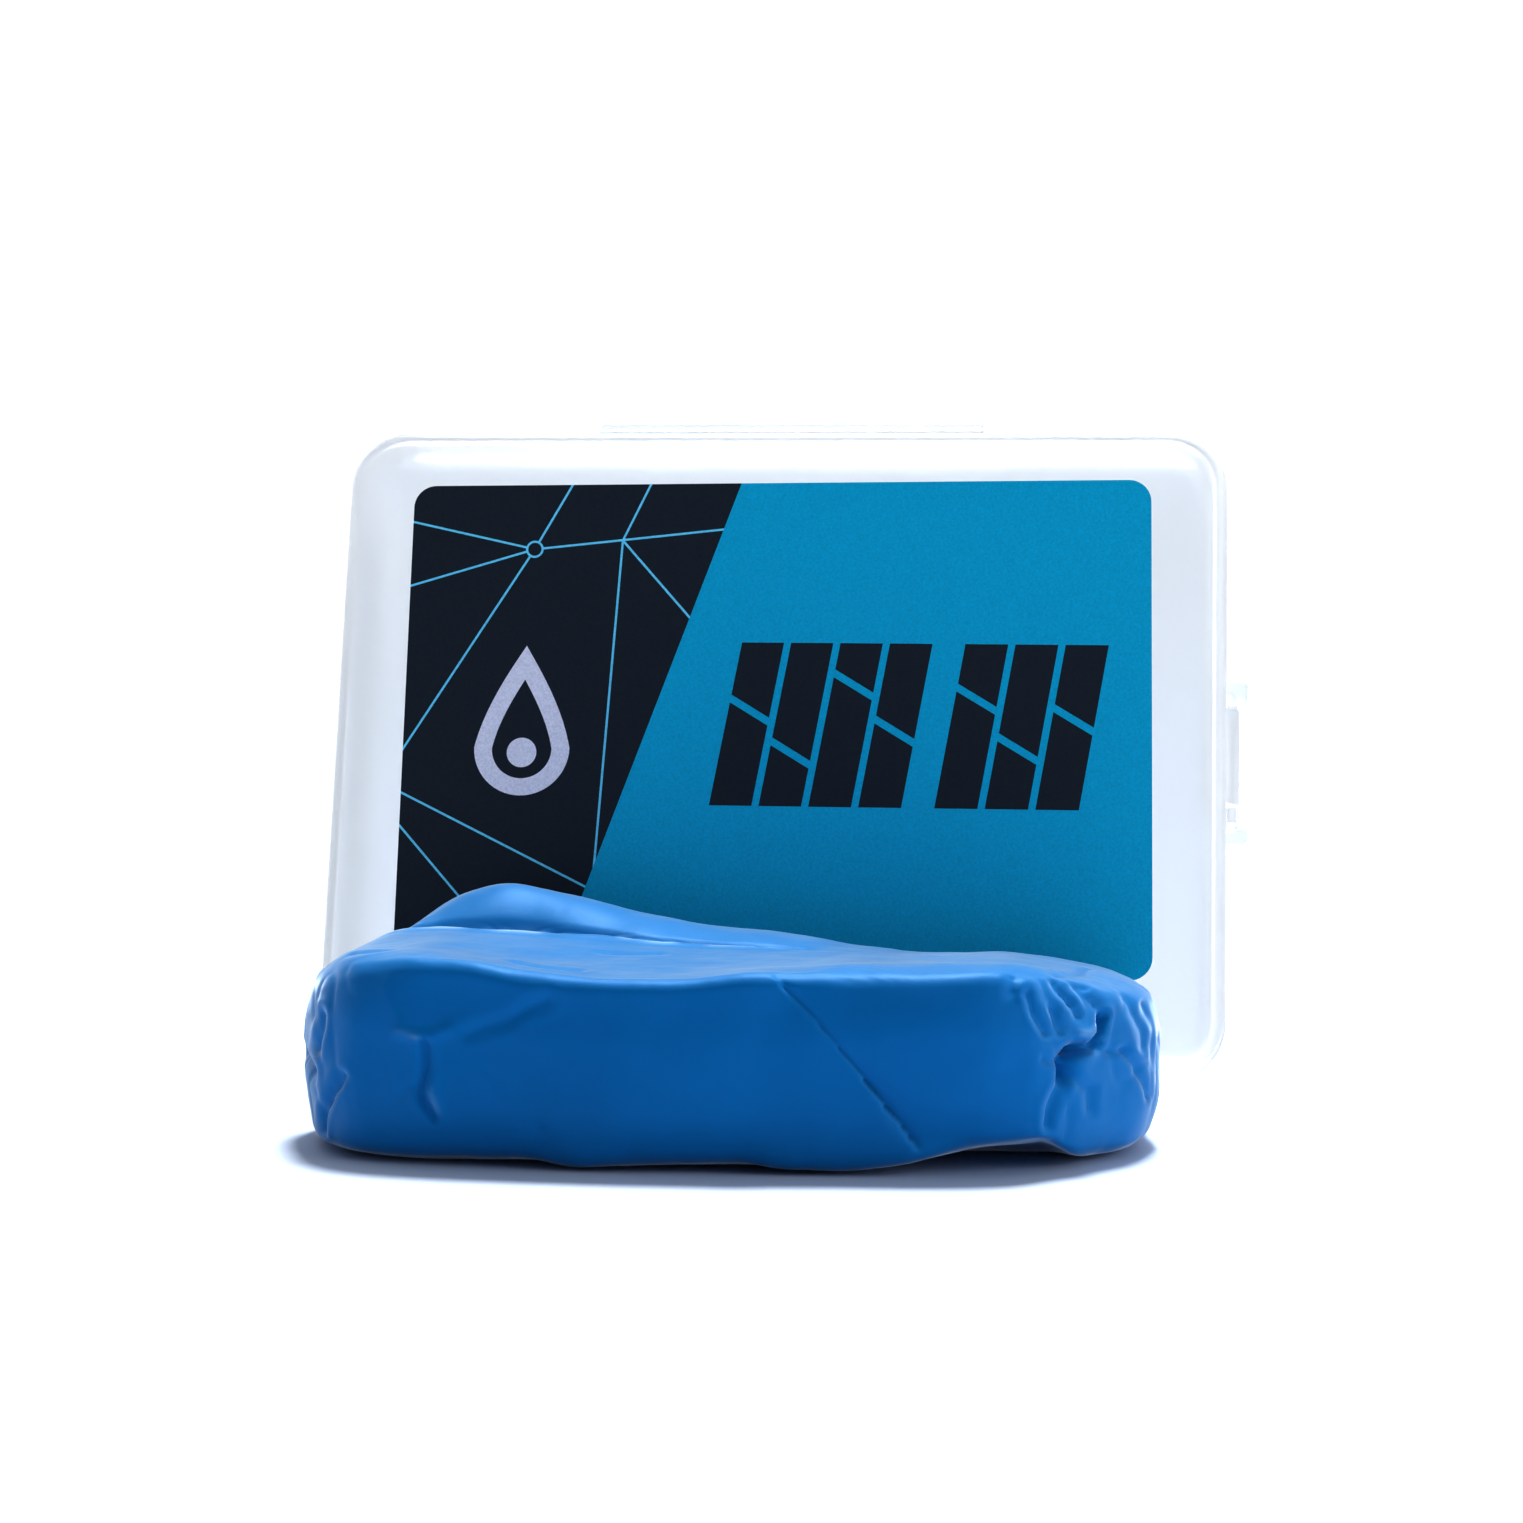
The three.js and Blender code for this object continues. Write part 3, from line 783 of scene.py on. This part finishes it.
END_MARKS = [
    ([(-16.0, 24.0), (-17.5, 16.0), (-15.0, 8.0), (-17.0, 0.0)], 0.7, 0.9, 0.35),
    ([(-26.0, 13.0), (-22.0, 11.6), (-17.2, 12.4)], 0.6, 0.4, 0.4),
    ([(-10.0, 16.0), (-7.0, 11.0), (-8.0, 6.0)], 0.8, 0.35, 0.4),
]
BACK_MARKS = [
    ([(-38.0, 14.0), (-20.0, 10.5), (4.0, 12.5), (30.0, 9.0)], 0.8, 0.5, 0.4),
    ([(-6.0, 20.0), (2.0, 15.0), (5.0, 5.0)], 0.7, 0.35, 0.4),
    ([(26.0, 16.0), (33.0, 12.0), (36.0, 6.0)], 0.6, 0.35, 0.5),
]


def line_distance(places, line):
    """How far each place is from a line, and on which side of its run (left is positive)."""
    best, side = np.full(len(places), 1e9), np.ones(len(places))
    for a, b in zip(line, line[1:]):
        a, b = np.array(a), np.array(b)
        run = b - a
        share = np.clip(((places - a) @ run) / (run @ run), 0, 1)
        gap = places - a - share[:, None] * run
        distance = np.linalg.norm(gap, axis=1)
        closer = distance < best
        best = np.where(closer, distance, best)
        side = np.where(closer, np.sign(run[0] * gap[:, 1] - run[1] * gap[:, 0]), side)
    return best, side


def wandered(places):
    """Moves places a little, softly and unevenly, because creases in a soft lump wander."""
    flat = np.column_stack([places, np.zeros(len(places))])
    return places + WANDER * np.column_stack([lumps(flat, WANDER_SIZE, 5.3), lumps(flat, WANDER_SIZE, 8.9)])


def pressed(places, marks):
    """The depth that a set of creases presses in, each with a lip pushed up beside it."""
    depth = np.zeros(len(places))
    places = wandered(places)
    for line, width, dip, lip in marks:
        distance, _ = line_distance(places, line)
        depth += dip * np.exp(-(distance / width) ** 1.25)
        depth -= 0.5 * dip * lip * np.exp(-((distance - 2.1 * width) / width) ** 2)
    return depth


def normals(points, quads):
    corners = points[quads]
    facing = np.cross(corners[:, 2] - corners[:, 0], corners[:, 3] - corners[:, 1])
    total = np.zeros_like(points)
    for corner in range(4):
        np.add.at(total, quads[:, corner], facing)
    return total / np.linalg.norm(total, axis=1, keepdims=True)


def lumps(points, size, seed):
    """Soft, even noise from -1 to 1, in lumps of about the given size."""
    offset = Vector((seed, 2 * seed, 3 * seed))
    return np.array([noise.noise(Vector(point) / size + offset) for point in points])


def creased(points, quads):
    """Presses the clay's creases, folds, finger dents and fine drag lines into its skin."""
    facing = normals(points, quads)
    front, back = ease(-facing[:, 1], 0.1, 0.4), ease(facing[:, 1], 0.1, 0.4)
    end, top = ease(-facing[:, 0], 0.2, 0.6), ease(facing[:, 2], 0.3, 0.7)
    depth = -(0.35 * lumps(points, 13, 3.1) + 0.14 * lumps(points, 5, 7.7) + 0.03 * lumps(points, 1.6, 1.3))
    flat_front, flat_top, flat_end = points[:, [0, 2]], points[:, :2], points[:, 1:]
    depth += front * pressed(flat_front, FRONT_MARKS)
    depth += top * pressed(flat_top, TOP_MARKS)
    depth += end * pressed(flat_end, END_MARKS)
    depth += back * pressed(flat_front, BACK_MARKS)
    # Short folds gathered at both ends, where the lump was squeezed
    gathered = ease(np.abs(facing[:, 0]), 0.25, 0.75)
    folds = 1 - np.abs(lumps(points * np.array((1, 1, 0.55)), 5.5, 4.4)) * 2.2
    depth += gathered * 0.2 * np.clip(folds, 0, 1) ** 4
    # The long fold: its left side stands over its right side, most of all low down
    distance, side = line_distance(flat_front, FOLD)
    strength = front * (0.3 + 0.7 * ease(-points[:, 2], -15, -7)) * ease(points[:, 2], 2.0, 4)
    fall = np.exp(-distance / np.where(side > 0, 4.5, 1.3))
    depth += strength * np.where(side > 0, 0.75, -0.3) * fall
    depth += 0.3 * front * np.exp(-(distance / 0.4) ** 1.5)
    # Drag lines left by fingertips
    x, y, z = points.T
    patch = np.exp(-(((x - 15) / 6) ** 2 + ((y + 33) / 8) ** 2)) * top
    bend = y + 0.35 * (x - 15) + 0.05 * (x - 15) ** 2
    depth += 0.05 * patch * np.sin(bend * math.tau / 1.15)
    patch = np.exp(-(((x + 32) / 7) ** 2 + ((z - 17) / 4) ** 2)) * front
    depth += 0.02 * patch * np.sin((z + 0.15 * x + 0.02 * (x + 32) ** 2) * math.tau / 0.95)
    moved = points - facing * depth[:, None]
    moved[:, 2] = np.maximum(moved[:, 2], 0.02)
    return moved, np.clip(depth, -1, 2)


def clay_bar():
    counts = tuple(int(round(2 * half / CLAY_STEP)) for half in CLAY_HALF)
    cells, quads = box_quads(counts)
    block = (cells / np.array(counts) * 2 - 1) * CLAY_HALF
    shape = kneaded(block)
    shape, depth = creased(shape, quads)
    # Painted highlight: the crest of the front slab along the seam where the two slabs meet, and the raised
    # folds, are painted paler
    seam = np.exp(-((shape[:, 1] - seam_y(shape[:, 0]) + 0.9) / 0.75) ** 2) * ease(shape[:, 2], 16, 19)
    seam *= (1 - ease(shape[:, 0], -10, 4)) * ease(lumps(shape, 4.5, 2.2), -0.35, 0.2)
    painted_highlight = np.clip(1.9 * seam + 0.5 * ease(-depth, 0.2, 0.7), 0, 1.6)
    mesh = bpy.data.meshes.new("kneaded_clay")
    mesh.from_pydata((shape * MM).tolist(), [], quads.tolist())
    mesh.update()
    mesh.attributes.new("painted_highlight", "FLOAT", "POINT").data.foreach_set("value", painted_highlight.astype(np.float32))
    piece = object_of("kneaded_clay", mesh)
    for polygon in mesh.polygons:
        polygon.use_smooth = True
    mesh.materials.append(MATERIALS["clay"])
    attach(piece, "clay_bar")
    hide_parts("clay_front_slab", "clay_back_slab")


# Materials

def colour(text, alpha=1.0):
    """An sRGB hex colour as linear red, green, blue and alpha."""
    shares = [int(text[i:i + 2], 16) / 255 for i in (1, 3, 5)]
    linear = [s / 12.92 if s <= 0.04045 else ((s + 0.055) / 1.055) ** 2.4 for s in shares]
    return (*linear, alpha)


def add_node(tree, kind, inputs=None, **settings):
    """Adds a node with its settings; an input is a value or the socket that feeds it."""
    node = tree.nodes.new(kind)
    for key, value in settings.items():
        setattr(node, key, value)
    for key, value in (inputs or {}).items():
        if isinstance(value, bpy.types.NodeSocket):
            tree.links.new(value, node.inputs[key])
        else:
            node.inputs[key].default_value = value
    return node


def new_material(name):
    material = bpy.data.materials.new(name)
    material.use_nodes = True
    tree = material.node_tree
    tree.nodes.clear()
    return material, tree, add_node(tree, "ShaderNodeOutputMaterial")


def polypropylene():
    """Natural injection-moulded polypropylene: clear and faintly milky, with a satin skin.

    Clouds about 17 mm wide vary the skin. A faint emission paints a slight glow, standing in for light that
    the wall scatters inside.
    """
    material, tree, output = new_material("natural_polypropylene")
    place = add_node(tree, "ShaderNodeTexCoord").outputs["Object"]
    cloud = add_node(tree, "ShaderNodeTexNoise", {"Vector": place, "Scale": 60.0, "Detail": 3.0})
    skin = add_node(tree, "ShaderNodeMapRange", {
        "Value": cloud.outputs["Fac"], "To Min": 0.26, "To Max": 0.32})
    # Painted glow: the faint emission stands in for light scattered inside the wall
    shader = add_node(tree, "ShaderNodeBsdfPrincipled", {
        "Base Color": colour("#E8EAEC"), "Roughness": skin.outputs["Result"], "IOR": 1.49,
        "Transmission Weight": 0.92, "Specular IOR Level": 0.5,
        "Emission Color": colour("#F4F7FB"), "Emission Strength": 0.06})
    tree.links.new(shader.outputs["BSDF"], output.inputs["Surface"])
    depth = add_node(tree, "ShaderNodeVolumeAbsorption", {"Color": colour("#D0D2D0"), "Density": 22.0})
    tree.links.new(depth.outputs["Volume"], output.inputs["Volume"])
    return material


def film(name, ink, roughness):
    """Printed polyester label film under a satin laminate, whose 0.3 mm grain mottles the ink."""
    material, tree, output = new_material(name)
    place = add_node(tree, "ShaderNodeTexCoord").outputs["Object"]
    grain = add_node(tree, "ShaderNodeTexNoise", {"Vector": place, "Scale": 3400.0, "Detail": 1.0})
    mottle = add_node(tree, "ShaderNodeMapRange", {
        "Value": grain.outputs["Fac"], "From Min": 0.3, "From Max": 0.7, "To Min": 0.9, "To Max": 1.06})
    tone = add_node(tree, "ShaderNodeVectorMath", {0: colour(ink)[:3], "Scale": mottle.outputs["Result"]},
                    operation="SCALE")
    bump = add_node(tree, "ShaderNodeBump", {
        "Height": grain.outputs["Fac"], "Strength": 0.15, "Distance": 0.05 * MM})
    shader = add_node(tree, "ShaderNodeBsdfPrincipled", {
        "Base Color": tone.outputs[0], "Roughness": roughness, "IOR": 1.45, "Specular IOR Level": 0.3,
        "Normal": bump.outputs["Normal"]})
    tree.links.new(shader.outputs["BSDF"], output.inputs["Surface"])
    return material


def detailing_clay():
    """Kneaded polybutene clay: waxy and evenly pigmented, with a painted highlight, a paler colour, along
    the seam's crest and on raised folds.

    Its tone drifts over about 14 mm, and its skin has a grain of about 0.7 mm.
    """
    material, tree, output = new_material("blue_detailing_clay")
    place = add_node(tree, "ShaderNodeTexCoord").outputs["Object"]
    patch = add_node(tree, "ShaderNodeTexNoise", {
        "Vector": place, "Scale": 70.0, "Detail": 4.0, "Roughness": 0.6})
    tone = add_node(tree, "ShaderNodeMix", data_type="RGBA")
    tree.links.new(patch.outputs["Fac"], tone.inputs[0])
    tone.inputs[6].default_value = colour("#0070AC")
    tone.inputs[7].default_value = colour("#007AB8")
    # Painted highlight: the seam's crest and the raised folds are mixed towards a pale blue
    painted_highlight = add_node(tree, "ShaderNodeAttribute", attribute_name="painted_highlight").outputs["Fac"]
    pale = add_node(tree, "ShaderNodeMix", data_type="RGBA")
    share = add_node(tree, "ShaderNodeMath", {0: painted_highlight, 1: 0.5}, operation="MULTIPLY")
    tree.links.new(share.outputs[0], pale.inputs[0])
    tree.links.new(tone.outputs[2], pale.inputs[6])
    pale.inputs[7].default_value = colour("#BBDBF7")
    rub = add_node(tree, "ShaderNodeMapRange", {
        "Value": patch.outputs["Fac"], "To Min": 0.46, "To Max": 0.6})
    grain = add_node(tree, "ShaderNodeTexNoise", {"Vector": place, "Scale": 1400.0, "Detail": 4.0})
    bump = add_node(tree, "ShaderNodeBump", {
        "Height": grain.outputs["Fac"], "Strength": 0.12, "Distance": 0.1 * MM})
    shader = add_node(tree, "ShaderNodeBsdfPrincipled", {
        "Base Color": pale.outputs[2], "Roughness": rub.outputs["Result"], "IOR": 1.5,
        "Specular IOR Level": 0.5, "Specular Tint": colour("#74B8FF"), "Sheen Weight": 1.0,
        "Sheen Roughness": 0.3, "Sheen Tint": colour("#E4F1FF"), "Normal": bump.outputs["Normal"]})
    tree.links.new(shader.outputs["BSDF"], output.inputs["Surface"])
    return material


MATERIALS = {
    "polypropylene": polypropylene(),
    "black": film("label_black", "#242F3B", 0.5),
    "blue": film("label_blue", "#00B7DC", 0.42),
    "line": film("label_line_blue", "#7ADEFC", 0.45),
    "mark": film("label_lilac", "#EEECFA", 0.45),
    "label_back": film("label_back_white", "#E9ECEF", 0.6),
    "clay": detailing_clay(),
}


# Studio


def studio():
    """A white sweep lit from above and behind, with the camera's side of the room left dark."""
    scene = bpy.context.scene
    scene.view_settings.view_transform = "Standard"
    scene.view_settings.gamma = 0.78
    world = bpy.data.worlds.new("studio")
    scene.world = world
    world.use_nodes = True
    tree = world.node_tree
    tree.nodes.clear()
    output = add_node(tree, "ShaderNodeOutputWorld")
    direction = add_node(tree, "ShaderNodeTexCoord").outputs["Generated"]
    axes = add_node(tree, "ShaderNodeSeparateXYZ", {"Vector": direction})
    facing = add_node(tree, "ShaderNodeMapRange", {
        "Value": axes.outputs["Y"], "From Min": -0.5, "From Max": 0.5, "To Min": 0.22, "To Max": 1.0},
        interpolation_type="SMOOTHSTEP")
    lit = add_node(tree, "ShaderNodeBackground", {
        "Color": colour("#F4F7FC"), "Strength": facing.outputs["Result"]})
    seen = add_node(tree, "ShaderNodeBackground", {"Color": colour("#FFFFFF"), "Strength": 1.05})
    camera_ray = add_node(tree, "ShaderNodeLightPath").outputs["Is Camera Ray"]
    mix = add_node(tree, "ShaderNodeMixShader", {0: camera_ray, 1: lit.outputs[0], 2: seen.outputs[0]})
    tree.links.new(mix.outputs[0], output.inputs["Surface"])
    overhead = bpy.data.lights.new("overhead_softbox", "SUN")
    overhead.energy = 4.5
    overhead.angle = math.radians(11)
    lamp = bpy.data.objects.new("overhead_softbox", overhead)
    lamp.rotation_euler = (math.radians(-20), math.radians(3), 0)
    scene.collection.objects.link(lamp)
    # A weak box on the right picks out the folds at the clay's end
    side = bpy.data.lights.new("side_softbox", "AREA")
    side.size = 0.5
    side.energy = 3.2
    lamp = bpy.data.objects.new("side_softbox", side)
    lamp.location = (0.85, -0.22, 0.32)
    clay_end = Vector((0.04, -0.03, 0.02))
    lamp.rotation_euler = (clay_end - lamp.location).to_track_quat("-Z", "Y").to_euler()
    scene.collection.objects.link(lamp)
    # The sweep runs on past where the eye could find its end
    reach = 40
    corners = [(-reach, -reach, 0), (reach, -reach, 0), (reach, reach, 0), (-reach, reach, 0)]
    floor = new_object("floor", corners, [(0, 1, 2, 3)])
    material, tree, output = new_material("white_sweep")
    shader = add_node(tree, "ShaderNodeBsdfPrincipled", {
        "Base Color": colour("#C9D3E3"), "Roughness": 0.6, "Specular IOR Level": 0.3})
    tree.links.new(shader.outputs["BSDF"], output.inputs["Surface"])
    floor.data.materials.append(material)


place_camera()
lid_shell()
tray_shell()
hinge_web()
latch_web()
latch_flap()
label()
clay_bar()
studio()
